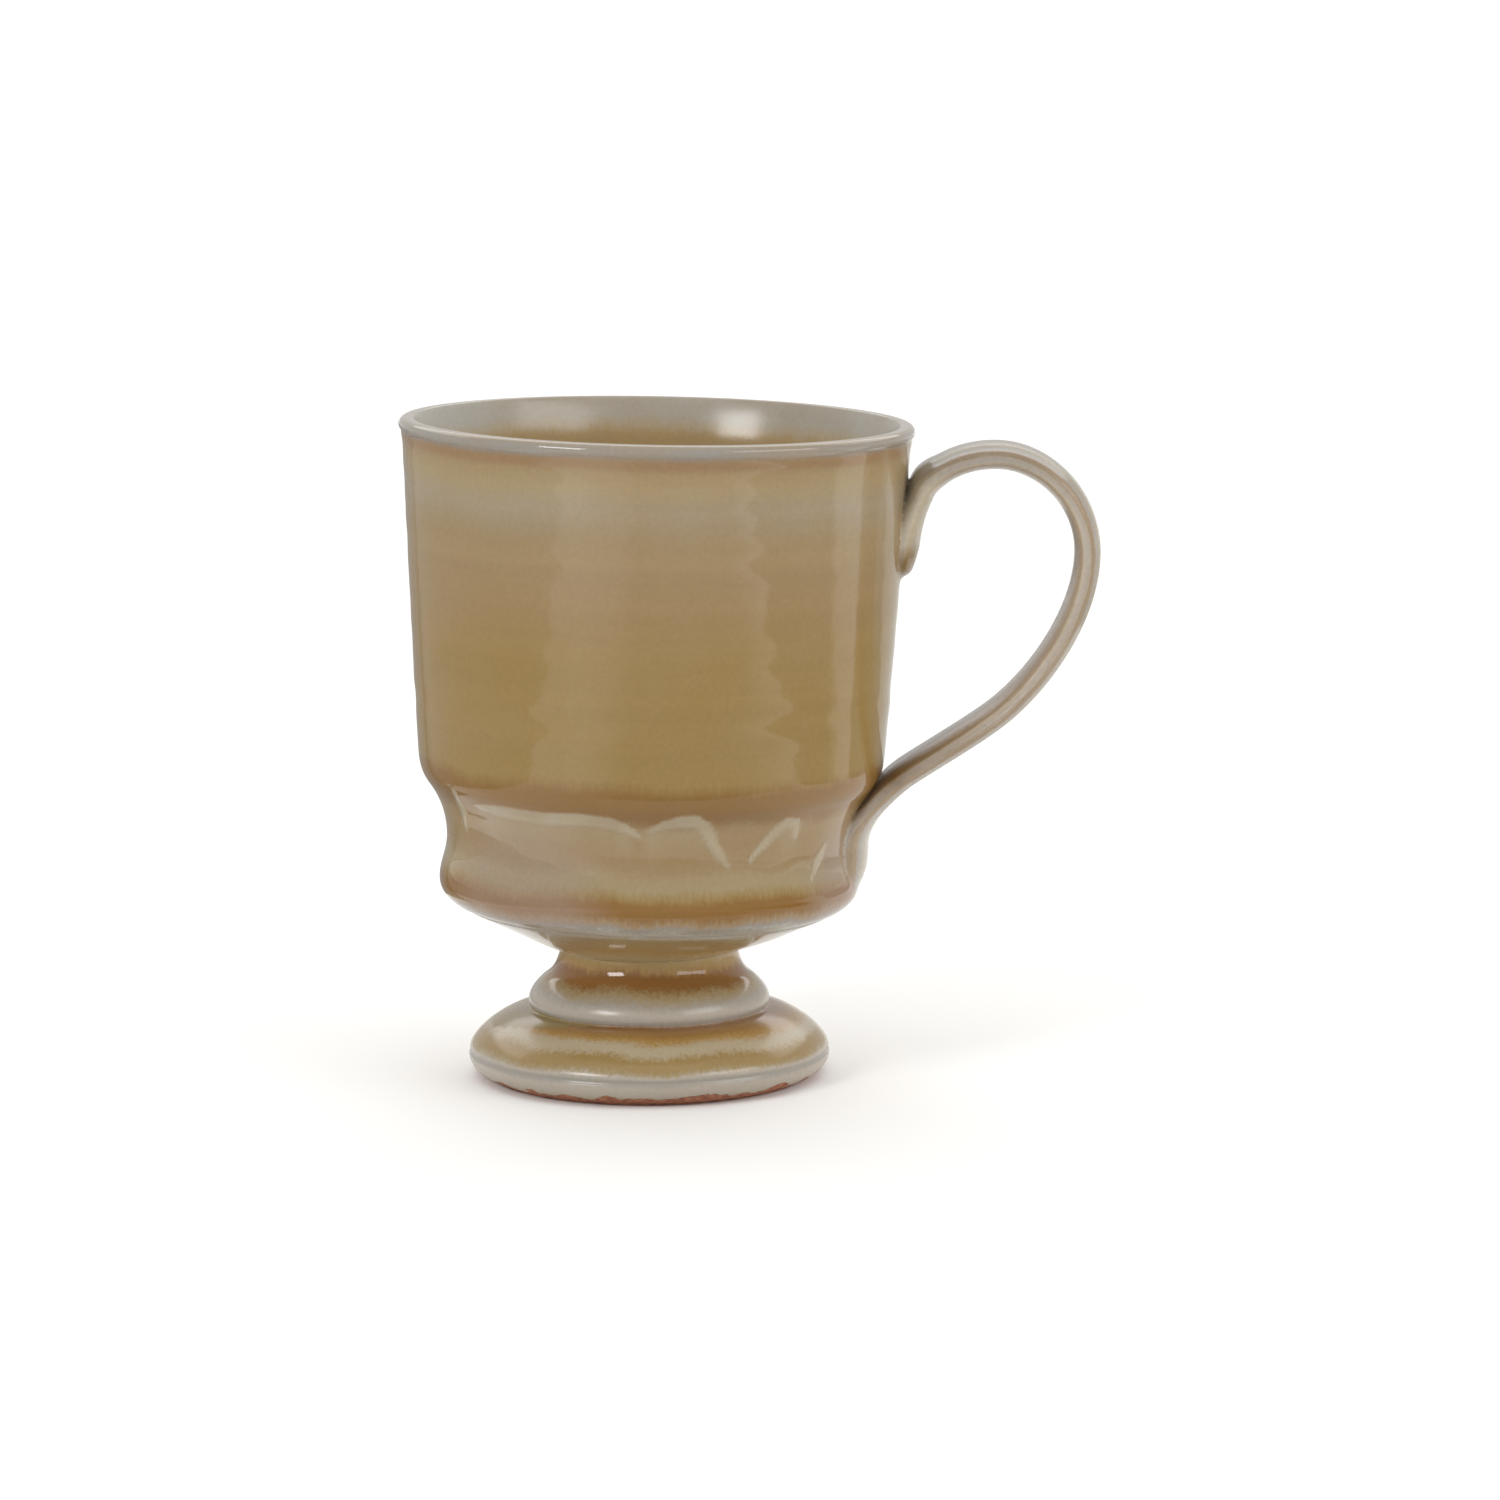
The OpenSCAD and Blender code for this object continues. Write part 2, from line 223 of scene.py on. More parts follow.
def shapeBody(body, p):
    # finger rings left by throwing and dents pinched in the waist, then the bowl leans on its stem
    points = getPoints(body)
    x, y, z = points.T
    radius = np.hypot(x, y)
    angle = np.arctan2(y, x)
    onWall = fade(z, 57, 62) * (1 - fade(z, 108.5, 111))
    rings = 0
    for pitch, start, share in p["ringWaves"]:
        rings = rings + share * np.sin(2 * math.pi * z / pitch - angle + start)
    firm = p["ringsLight"]
    for height, reach, extra in p["ringsFirm"]:
        firm = firm + extra * np.exp(-((z - height) / reach) ** 2)
    swell = p["fingerRings"] * rings * firm * onWall
    swell += p["outOfRound"] * onWall * np.sin(2 * angle + 0.9) * np.sin(z / 19.0)
    # the dents are in the outer skin of the waist only
    pinch = fade(z, 40, 44) * (1 - fade(z, 49, 53))
    outside = radius > np.interp(z, [30, 45, 55, 111], [33.2, 33.6, 38.3, 42.3])
    for at, depth, width in p["dents"]:
        gap = np.degrees(np.angle(np.exp(1j * (angle - math.radians(at)))))
        swell -= outside * pinch * depth * np.exp(-(gap / width) ** 2)
    radius = np.where(radius > 1, radius, 1)
    points[:, 0] += swell * x / radius
    points[:, 1] += swell * y / radius
    share = fade(points[:, 2], p["leanBegins"], p["leanWhole"])[:, None]
    points = points * (1 - share) + moved(points, leanMatrix(p)) * share
    setPoints(body, points)


# Sizes of the pulled strap handle, mm. A station is a place along its middle line, and each row of
# a table starts with one.
strap = {
    "around": 48,           # points round a ring
    "rings": 174,
    "end": 58,              # the last station
    "turn": 2.0,            # degrees, towards the viewer
    "power": 0.84,          # squareness of the section
    "groove": 0.4,
    "grooveAt": 0.74,
    "edgeGroove": 0.30,
    # stations where each leg starts and stops, then its curve: distance from the axis and height
    "legs": [
        (0, 9, (41.8, 89.6), (43.9, 92.4), (42.85, 96.8), (46.35, 103.8)),
        (9, 18, (46.35, 103.8), (47.45, 108.3), (53.2, 111.2), (59.3, 111.2)),
        (18, 27, (59.3, 111.2), (67.3, 111.2), (75.4, 104.1), (75.4, 94.2)),
        (27, 36, (75.4, 94.2), (75.4, 83.3), (67.35, 71.4), (59.95, 65.5)),
        (36, 42, (59.95, 65.5), (55.35, 61.9), (49, 58), (44.8, 55)),
        (42, 51, (44.8, 55), (41.3, 52.3), (36.1, 46.8), (36.05, 42.2)),
        (51, 58, (36.05, 42.2), (36.05, 39.4), (36.25, 36.2), (34.55, 32.6)),
    ],
    # half the thickness and half the width
    "thickness": [(0, 1), (1.5, 2.3), (4.5, 2.65), (7, 2.3), (9, 2), (12, 2.45), (16, 2.4), (26, 2.3),
                  (38, 2.45), (44, 2.4), (47, 2.25), (51, 2.45), (54, 2.3), (56, 1.7), (58, 0.8)],
    "width": [(0, 3), (1.5, 6.1), (4, 8.5), (9, 8.5), (15, 7.6), (38, 7.6), (44, 8.4), (49, 11),
              (54, 11), (56.5, 8.4), (58, 4)],
    # how much the strap bends round the wall, and the clay smoothed in under the rim
    "wrap": [(0, 1), (7, 1), (14, 0), (38, 0), (44, 0.6), (49, 1), (58, 1)],
    "fill": [(0, 0), (5, 0), (9, 0.9), (11, 0.9), (13, 0), (58, 0)],
    # the facet pressed in the tail: depth, then its place and reach along and across
    "facet": (0.55, 3.0, 1.3, -0.62, 0.3),
    # reach from the seam and number of passes that smooth the join, then the reach and gap of the merge
    "smoothing": [(1.6, 3), (0.8, 5)],
    "merge": (1.6, 0.16),
}


def pullStrap(p):
    # a straight tube of rings first, then each ring is set on the strap's line
    bpy.ops.object.select_all(action="DESELECT")
    bpy.ops.mesh.primitive_circle_add(vertices=p["around"], radius=mm, fill_type="NGON")
    handle = bpy.context.object
    handle.name = handle.data.name = "handleStrap"
    bpy.ops.object.mode_set(mode="EDIT")
    bpy.ops.mesh.select_all(action="SELECT")
    for step in range(p["rings"]):
        bpy.ops.mesh.extrude_region_move(TRANSFORM_OT_translate={"value": (0, 0, mm)})
    bpy.ops.object.mode_set(mode="OBJECT")
    points = getPoints(handle)
    station = points[:, 2] / p["rings"] * p["end"]
    around = np.arctan2(points[:, 1], points[:, 0])
    markStrap(handle, station, around, p["end"])
    setPoints(handle, strapPoints(p, station, around))
    bpy.ops.object.mode_set(mode="EDIT")
    bpy.ops.mesh.select_all(action="SELECT")
    bpy.ops.mesh.normals_make_consistent(inside=False)
    bpy.ops.object.mode_set(mode="OBJECT")
    return handle


def softTable(rows, station):
    # a table by station, read every tenth of a station and with its corners rounded
    fine = np.linspace(-4, 62, 661)
    keys, values = zip(*rows)
    level = np.interp(fine, keys, values)
    window = np.hanning(15)
    level = np.convolve(np.pad(level, 7, "edge"), window / window.sum(), "valid")
    return np.interp(station, fine, level)


def strapPoints(p, station, around):
    station = np.clip(station, 0, p["end"])
    line = np.zeros((len(station), 2))
    heading = np.zeros((len(station), 2))
    for start, stop, a, b, c, d in p["legs"]:
        here = (station >= start) & (station <= stop)
        t = ((station[here] - start) / (stop - start))[:, None]
        s = 1 - t
        a, b, c, d = (np.array(q, float) for q in (a, b, c, d))
        line[here] = s**3 * a + 3 * s * s * t * b + 3 * s * t * t * c + t**3 * d
        heading[here] = 3 * (s * s * (b - a) + 2 * s * t * (c - b) + t * t * (d - c))
    heading /= np.linalg.norm(heading, axis=1)[:, None]
    outward = np.stack([-heading[:, 1], heading[:, 0]], 1)
    rise, side = np.cos(around), np.sin(around)
    squareRise = np.sign(rise) * np.abs(rise) ** p["power"]
    squareSide = np.sign(side) * np.abs(side) ** p["power"]
    half = softTable(p["width"], station)
    inHand = fade(station, 8, 13) * (1 - fade(station, 44, 50))
    across = half * squareSide
    edgeDip = p["edgeGroove"] * np.exp(-((squareRise + 0.12) / 0.2) ** 2) * inHand
    across -= np.sign(side) * edgeDip * (np.abs(squareSide) > 0.5)
    dip = p["groove"] * (np.exp(-((squareSide - p["grooveAt"]) / 0.1) ** 2)
                         + np.exp(-((squareSide + p["grooveAt"]) / 0.1) ** 2))
    dip = np.where(rise > 0.05, dip, 0) * inHand
    fill = softTable(p["fill"], station) * np.maximum(rise, 0)
    height = softTable(p["thickness"], station) * squareRise - dip + fill
    depth, at, long, beside, wide = p["facet"]
    pressed = np.exp(-((station - at) / long) ** 2 - ((squareSide - beside) / wide) ** 2)
    height -= depth * pressed * (rise > 0)
    place = line + height[:, None] * outward
    reach = place[:, 0] - softTable(p["wrap"], station) * across**2 / (2 * place[:, 0])
    points = np.stack([reach, across, place[:, 1]], 1)
    points = moved(points, Matrix.Rotation(math.radians(-p["turn"]), 4, "Z"))
    return moved(points, leanMatrix(thrown))


def markStrap(handle, station, around, end):
    # a map that runs with the strap: across is the turn round its section, up is the way along it
    layer = handle.data.uv_layers.new(name="strap")
    for face in handle.data.polygons:
        turns = [around[handle.data.loops[i].vertex_index] / (2 * math.pi) % 1 for i in face.loop_indices]
        for i, turn in zip(face.loop_indices, turns):
            turn += 1 if len(turns) == 4 and max(turns) - turn > 0.5 else 0
            layer.data[i].uv = (turn, station[handle.data.loops[i].vertex_index] / end)


def findSeam(mesh):
    # the points where the wall and the strap meet, ready for finding the nearest
    touch = {}
    for face in mesh.polygons:
        for v in face.vertices:
            touch.setdefault(v, set()).add(face.material_index)
    seam = [v for v, kinds in touch.items() if len(kinds) == 2]
    print("seam points", len(seam))
    tree = KDTree(len(seam))
    for i, v in enumerate(seam):
        tree.insert(mesh.vertices[v].co, i)
    tree.balance()
    return tree


def selectNear(mesh, tree, reach):
    # selects the points near the seam and stays in edit mode
    bpy.ops.object.mode_set(mode="EDIT")
    bpy.ops.mesh.select_mode(type="VERT")
    bpy.ops.mesh.select_all(action="DESELECT")
    bpy.ops.object.mode_set(mode="OBJECT")
    for v in mesh.vertices:
        v.select = tree.find(v.co)[2] < reach * mm
    bpy.ops.object.mode_set(mode="EDIT")


def joinClay(body, handle, p):
    # the strap is luted to the wall, and the clay is smoothed over the join
    body.data.uv_layers.new(name="strap")
    for piece in (body, handle):
        piece.data.materials.append(wallGlaze)
        piece.data.materials.append(handleGlaze)
    for face in handle.data.polygons:
        face.material_index = 1
    weld = body.modifiers.new("lute", "BOOLEAN")
    weld.operation = "UNION"
    weld.solver = "EXACT"
    weld.object = handle
    bpy.context.view_layer.objects.active = body
    bpy.ops.object.modifier_apply(modifier=weld.name)
    bpy.data.objects.remove(handle)
    tree = findSeam(body.data)
    for reach, repeat in p["smoothing"]:
        selectNear(body.data, tree, reach)
        bpy.ops.mesh.vertices_smooth(factor=0.5, repeat=repeat)
        bpy.ops.object.mode_set(mode="OBJECT")
    reach, gap = p["merge"]
    selectNear(body.data, tree, reach)
    bpy.ops.mesh.remove_doubles(threshold=gap * mm)
    # a merge can leave a lone triangle standing on an edge
    bpy.ops.mesh.select_mode(type="EDGE")
    bpy.ops.mesh.select_non_manifold(extend=False, use_wire=True, use_boundary=True, use_multi_face=False,
                                     use_non_contiguous=False, use_verts=False)
    bpy.ops.mesh.delete(type="EDGE")
    bpy.ops.mesh.select_mode(type="VERT")
    bpy.ops.mesh.select_all(action="SELECT")
    bpy.ops.mesh.quads_convert_to_tris(quad_method="BEAUTY", ngon_method="BEAUTY")
    bpy.ops.mesh.normals_make_consistent(inside=False)
    bpy.ops.object.mode_set(mode="OBJECT")


# Pale runs under the shoulder, a painted reflection of the pale floor in the waist laid out as glaze runs:
# degrees round the mug, height and half width, mm
reflectionRuns = [
    [(-139, 51.3, 0.6), (-129, 51.1, 1.2), (-117, 50.9, 1.2), (-107, 51.3, 1.2), (-99.5, 50.9, 1.15),
     (-95.5, 50, 0.9), (-92.6, 48.6, 0.35)],
    [(-89.4, 49.5, 0.35), (-86, 50.7, 0.9), (-82, 51.4, 1.15), (-78, 51.5, 1.2), (-75.6, 50.6, 1.0),
     (-73, 48, 0.95), (-69.7, 45.1, 0.95), (-67.4, 43.2, 0.6)],
    [(-60.6, 43.9, 0.6), (-56, 47.2, 0.95), (-51.5, 50.3, 1.05), (-48, 49.9, 0.95), (-46.4, 47.2, 0.4)],
    [(-38.8, 39, 0.4), (-35.5, 42.2, 1.0), (-32.2, 44.5, 0.8)],
    [(-147.4, 53.5, 0.6), (-149, 50.4, 1.1), (-151, 46.4, 0.7)],
    [(-172, 51.1, 0.5), (-180, 51.9, 1.15), (-190, 51.4, 1.2), (-197, 51.7, 1.1), (-203, 49.6, 0.95),
     (-206, 46.3, 0.6)],
    [(-214, 49.7, 0.5), (-221, 51.4, 1.1), (-233, 51.2, 1.2), (-246, 51.5, 1.15), (-252, 49.7, 0.7)],
    [(-259, 46.5, 0.5), (-263, 50.1, 1.0), (-272, 51.6, 1.15), (-285, 51.1, 1.15), (-292, 48.9, 0.8),
     (-294, 46.1, 0.5)],
    [(-304, 50.2, 0.7), (-311, 51.4, 1.1), (-318, 50.9, 1.0), (-321, 47.1, 0.6)],
]
farFromRuns = 9.0       # stands for no run near, mm
waistReach = 38         # distance of the runs from the axis, mm
curtainDrop = 3.2       # how far the painted reflection fades down below a level run, mm
curtainShare = 0.42     # and how thick it is there, as a share of the run


def runDistance(angle, height):
    # how far each point lies outside a run or the curtain under it, mm, and how strong the painted
    # reflection is there, 0 to 1
    nearest = np.full(len(angle), farFromRuns)
    depth = np.zeros(len(angle))
    spread = math.radians(waistReach)
    for run in reflectionRuns:
        for (a0, h0, w0), (a1, h1, w1) in zip(run, run[1:]):
            x = ((angle - (a0 + a1) / 2 + 180) % 360 - 180) * spread
            along = (a1 - a0) * spread
            rise = h1 - h0
            # the nearest place on this stretch of the run
            t = np.clip(((x + along / 2) * along + (height - h0) * rise) / (along**2 + rise**2), 0, 1)
            wide = w0 + (w1 - w0) * t
            gap = np.hypot(x + along / 2 - along * t, height - h0 - rise * t) - wide
            depth = np.maximum(depth, 1 - fade(gap, -0.35, 0.6))
            # a curtain hangs only from the stretches that lie nearly level
            if abs(rise) < 0.7 * abs(along):
                across = np.clip(x / along + 0.5, 0, 1)
                below = h0 + rise * across - height
                beside = np.abs(x) - abs(along) / 2
                gap = np.where(below > 0, np.minimum(gap, np.maximum(beside, 0) - curtainDrop), gap)
                hang = (1 - fade(below, 0.5, 8.0)) * (1 - fade(beside, -1.0, 3.0)) * fade(below, -1.0, 0.0)
                depth = np.maximum(depth, curtainShare * hang)
            nearest = np.minimum(nearest, gap)
    return nearest, depth


def markBody(body, p):
    # what the glaze reads at each point: inside or outside, how far from a run, how strong the painted
    # reflection of the floor is
    points = moved(getPoints(body), leanMatrix(p).inverted())
    radius = np.hypot(points[:, 0], points[:, 1])
    height = points[:, 2]
    angle = np.degrees(np.arctan2(points[:, 1], points[:, 0]))
    outline = np.array(outerProfile(p))[::-1]
    outline = outline[np.argsort(outline[:, 1])]
    skin = np.interp(height, outline[:, 1], outline[:, 0])
    lipStart, lipInner = 113.8, 42.6
    hollow = (radius < skin - 1.2) & (height > 0.25) & (height < lipStart)
    within = hollow | (height >= lipStart) & (radius < lipInner)
    runs, paleReflection = runDistance(angle, height)
    runs = np.where(within, farFromRuns, runs)
    for name, values in (("within", within), ("runs", runs), ("paleReflection", paleReflection * ~within)):
        layer = body.data.attributes.new(name, "FLOAT", "POINT")
        layer.data.foreach_set("value", values.astype(np.float32))


def colour(code):
    # a web colour in the linear values that Blender works in
    parts = [int(code[i:i + 2], 16) / 255 for i in (1, 3, 5)]
    return [c / 12.92 if c <= 0.04045 else ((c + 0.055) / 1.055) ** 2.4 for c in parts] + [1.0]


def addNode(tree, kind, inputs=None, **settings):
    # an input is a plain value, a socket, or a node whose first output is meant
    node = tree.nodes.new(kind)
    for name, value in settings.items():
        setattr(node, name, value)
    for name, value in (inputs or {}).items():
        if isinstance(value, bpy.types.Node):
            value = value.outputs[0]
        if isinstance(value, bpy.types.NodeSocket):
            tree.links.new(value, node.inputs[name])
        else:
            node.inputs[name].default_value = value
    return node


def setRamp(node, stops):
    # each stop is a place and a colour or a grey
    ramp = node.color_ramp
    while len(ramp.elements) < len(stops):
        ramp.elements.new(0.5)
    for element, (place, value) in zip(ramp.elements, sorted(stops)):
        element.position = place
        element.color = colour(value) if isinstance(value, str) else (value, value, value, 1)
    return node


# Glazed stoneware: a runny ash glaze, fired glossy. It thins to grey lilac on edges and runs to
# ochre and brown in the hollows. Heights are mm in the bowl's own frame.
glazeLook = {
    "roughness": 0.07,
    "satinRoughness": 0.17,
    "paleRoughness": 0.28,
    "clayRoughness": 0.85,
    "ior": 1.5,
    "colours": {
        "lilac": "#868179", "mist": "#A09B90", "pale": "#A0978A", "ash": "#8E806A", "sand": "#8F7E5D",
        "wheat": "#8A7655", "tan": "#88714E", "ochre": "#856D3F", "brown": "#775729", "rust": "#785420",
        "bark": "#84694A", "umber": "#7C5427", "olive": "#8A7245", "reed": "#9C8250", "slate": "#928C82",
        "mauve": "#8B7454", "moss": "#7F6D40", "shade": "#7E7265", "straw": "#A2957C", "honey": "#987844",
        "dune": "#A08C68", "paleReflection": "#A0967F", "cloud": "#8D7C72",
    },
    "mauveShare": (0.1, 0.38),      # on the belly and on the wall
    # degrees round the mug and how far each lilac cloud reaches, mm
    "clouds": [(-128, 19), (-20, 15), (38, 22), (128, 18), (168, 16)],
    "cloudShare": 0.43,
    # how much of the painted reflection's colour the runs take, least and most
    "reflectionShare": (0.48, 0.82),
    "clay": [(0.3, "#70432F"), (0.5, "#925C42"), (0.72, "#AD7758")],
    "clayLine": (0.0009, 0.0029),   # lowest and highest edge of the bare clay, m
    "peel": 0.014,                  # orange peel, mm
    "runRelief": 0.16,
    "bareRelief": -0.2,
    # how ragged the foot's bands are, by the share of the way up the foot
    "footRagged": [(0.0, 0.3), (0.2, 0.3), (0.28, 0.8), (0.42, 0.8), (0.5, 0.2), (0.56, 0.2), (0.64, 1.0),
                   (0.8, 1.0), (1.0, 0.6)],
    "footTop": 24,
    "bowlTop": 116,
    "foot": [
        (1.4, "straw"), (2.4, "pale"), (3.6, "pale"), (4.3, "slate"), (5.0, "slate"), (5.5, "pale"),
        (6.2, "sand"), (6.9, "olive"), (8.2, "olive"), (9.2, "straw"), (10.1, "straw"), (10.9, "honey"),
        (12.1, "umber"), (12.7, "slate"), (14.2, "pale"), (15.6, "slate"), (17.3, "sand"), (18.7, "umber"),
        (20.2, "umber"), (21.3, "honey"), (22.3, "reed"), (23.4, "dune"),
    ],
    "bowl": [
        (24.0, "dune"), (26.0, "reed"), (29.2, "sand"), (30.4, "mist"), (31.3, "mist"), (32.2, "lilac"),
        (33.3, "mauve"), (34.5, "rust"), (36.6, "rust"), (37.8, "ochre"), (39.2, "sand"), (40.6, "sand"),
        (42.0, "wheat"), (44.5, "tan"), (49.5, "tan"), (51.6, "brown"), (56.0, "brown"), (58.4, "ochre"),
        (78.0, "ochre"), (90.0, "tan"), (99.0, "wheat"), (104.6, "ash"), (108.6, "sand"), (111.2, "wheat"),
        (112.2, "bark"), (113.0, "bark"), (113.7, "shade"), (114.3, "lilac"), (115.4, "lilac"),
        (115.8, "ash"),
    ],
    "inside": [
        (29.3, "moss"), (36.0, "moss"), (60.0, "olive"), (96.0, "olive"), (109.0, "reed"), (110.8, "straw"),
        (112.4, "mist"), (115.2, "mist"), (115.8, "mist"),
    ],
}


def bandStops(look, part, low, high):
    # the heights of the bands as shares of the way from low to high
    return [((height - low) / (high - low), look["colours"][name]) for height, name in look[part]]


def feathered(tree, bowl, across, along, strength):
    # a height that wanders in fine vertical hairs, as runny glaze does at each change of colour
    stretch = addNode(tree, "ShaderNodeMapping", {"Vector": bowl, "Scale": (across, across, along)})
    hairs = addNode(tree, "ShaderNodeTexNoise", {
        "Vector": stretch, "Scale": 1.0, "Detail": 3.0, "Roughness": 0.6})
    return addNode(tree, "ShaderNodeMapRange", {
        "Value": hairs, "From Min": 0.3, "From Max": 0.7, "To Min": -strength, "To Max": strength})


def speckled(tree, place, base, share, contrast):
    # specks and crystals of a millimetre or less
    grain = addNode(tree, "ShaderNodeTexNoise", {"Vector": place, "Scale": 1300.0, "Detail": 2.0})
    greys = setRamp(addNode(tree, "ShaderNodeValToRGB", {"Fac": grain}),
                    [(0.3, 0.5 - contrast), (0.7, 0.5 + contrast)])
    return addNode(tree, "ShaderNodeMix", {0: share, 6: base, 7: greys},
                   data_type="RGBA", blend_type="OVERLAY").outputs[2]


def addRelief(tree, shader, height):
    # a height in mm becomes bump
    bump = addNode(tree, "ShaderNodeBump", {"Height": height, "Strength": 1.0, "Distance": mm})
    tree.links.new(bump.outputs[0], shader.inputs["Normal"])


def heightBands(tree, look, footHeight, bowlHeight, hairs, drift, within):
    # each band of colour lies at its own height, on the foot, on the bowl and inside it
    footTop, bowlTop = look["footTop"] * mm, look["bowlTop"] * mm
    alongFoot = addNode(tree, "ShaderNodeMapRange", {"Value": footHeight, "From Max": footTop})
    ragged = setRamp(addNode(tree, "ShaderNodeValToRGB", {"Fac": alongFoot}), look["footRagged"])
    longHairs = addNode(tree, "ShaderNodeMath", {0: hairs, 1: 1.1}, operation="MULTIPLY")
    longer = addNode(tree, "ShaderNodeMath", {0: longHairs, 1: drift}, operation="ADD")
    feather = addNode(tree, "ShaderNodeMath", {0: longer, 1: ragged}, operation="MULTIPLY")
    low = addNode(tree, "ShaderNodeMath", {0: footHeight, 1: feather}, operation="ADD")
    footRange = addNode(tree, "ShaderNodeMapRange", {"Value": low, "From Min": 0.0, "From Max": footTop})
    footColour = setRamp(addNode(tree, "ShaderNodeValToRGB", {"Fac": footRange}),
                         bandStops(look, "foot", 0, look["footTop"]))
    # the bands just under the rolled lip run almost level
    wander = addNode(tree, "ShaderNodeMath", {0: hairs, 1: drift}, operation="ADD")
    level = addNode(tree, "ShaderNodeMapRange", {
        "Value": bowlHeight, "From Min": 0.104, "From Max": 0.112, "To Min": 1.0, "To Max": 0.2})
    steady = addNode(tree, "ShaderNodeMath", {0: wander, 1: level}, operation="MULTIPLY")
    outer = addNode(tree, "ShaderNodeMath", {0: bowlHeight, 1: steady}, operation="ADD")
    outerRange = addNode(tree, "ShaderNodeMapRange", {
        "Value": outer, "From Min": footTop, "From Max": bowlTop})
    bowlColour = setRamp(addNode(tree, "ShaderNodeValToRGB", {"Fac": outerRange}),
                         bandStops(look, "bowl", look["footTop"], look["bowlTop"]))
    # the foot's colours give way to the bowl's where the two meet
    high = addNode(tree, "ShaderNodeMath", {0: bowlHeight, 1: wander}, operation="ADD")
    isBowl = addNode(tree, "ShaderNodeMapRange", {"Value": high, "From Min": 0.0238, "From Max": 0.0262})
    outside = addNode(tree, "ShaderNodeMix", {0: isBowl, 6: footColour, 7: bowlColour}, data_type="RGBA")
    innerRange = addNode(tree, "ShaderNodeMapRange", {
        "Value": high, "From Min": footTop, "From Max": bowlTop})
    insideColour = setRamp(addNode(tree, "ShaderNodeValToRGB", {"Fac": innerRange}),
                           bandStops(look, "inside", look["footTop"], look["bowlTop"]))
    return addNode(tree, "ShaderNodeMix", {0: within, 6: outside.outputs[2], 7: insideColour},
                   data_type="RGBA").outputs[2]


def softPatches(tree, look, place, bowlHeight, base, within):
    # mauve and ochre drift over the straight wall, in patches of 15 to 30 mm
    patches = addNode(tree, "ShaderNodeTexNoise", {
        "Vector": place, "Scale": 42.0, "Detail": 4.0, "Roughness": 0.55})
    warm = setRamp(addNode(tree, "ShaderNodeValToRGB", {"Fac": patches}), [(0.36, 0.0), (0.66, 1.0)])
    mauve = addNode(tree, "ShaderNodeMix", {0: warm, 6: base, 7: colour(look["colours"]["mauve"])},
                    data_type="RGBA")
    onBelly, onWall = look["mauveShare"]
    share = addNode(tree, "ShaderNodeMapRange", {
        "Value": bowlHeight, "From Min": 0.054, "From Max": 0.064, "To Min": onBelly, "To Max": onWall})
    drifted = addNode(tree, "ShaderNodeMix", {0: share, 6: base, 7: mauve.outputs[2]},
                      data_type="RGBA").outputs[2]
    # lilac clouds where the glaze lies thin on the outside of the belly
    bellyReach, bellyHeight = 0.0365, 0.0355
    for turn, reach in look["clouds"]:
        turn = math.radians(turn)
        middle = (bellyReach * math.cos(turn), bellyReach * math.sin(turn), bellyHeight)
        off = addNode(tree, "ShaderNodeVectorMath", {0: place, 1: middle}, operation="DISTANCE")
        cloud = addNode(tree, "ShaderNodeMapRange", {
            "Value": off.outputs["Value"], "From Min": reach * mm, "From Max": reach * 0.5 * mm,
            "To Max": look["cloudShare"]})
        outdoors = addNode(tree, "ShaderNodeMath", {0: within, 1: cloud}, operation="LESS_THAN")
        hazy = addNode(tree, "ShaderNodeMath", {0: cloud, 1: outdoors}, operation="MULTIPLY")
        drifted = addNode(tree, "ShaderNodeMix", {
            0: hazy, 6: drifted, 7: colour(look["colours"]["cloud"])}, data_type="RGBA").outputs[2]
    return drifted


def bareClay(tree, look, place, footHeight):
    # 1 where the glaze was wiped off the standing ring, in a nibbled line
    nibble = addNode(tree, "ShaderNodeTexNoise", {
        "Vector": place, "Scale": 170.0, "Detail": 3.0, "Roughness": 0.5})
    lowest, highest = look["clayLine"]
    line = addNode(tree, "ShaderNodeMapRange", {
        "Value": nibble, "From Min": 0.3, "From Max": 0.7, "To Min": lowest, "To Max": highest})
    under = addNode(tree, "ShaderNodeMath", {0: line, 1: footHeight}, operation="SUBTRACT")
    return addNode(tree, "ShaderNodeMapRange", {"Value": under, "From Min": -0.00005, "From Max": 0.00005})


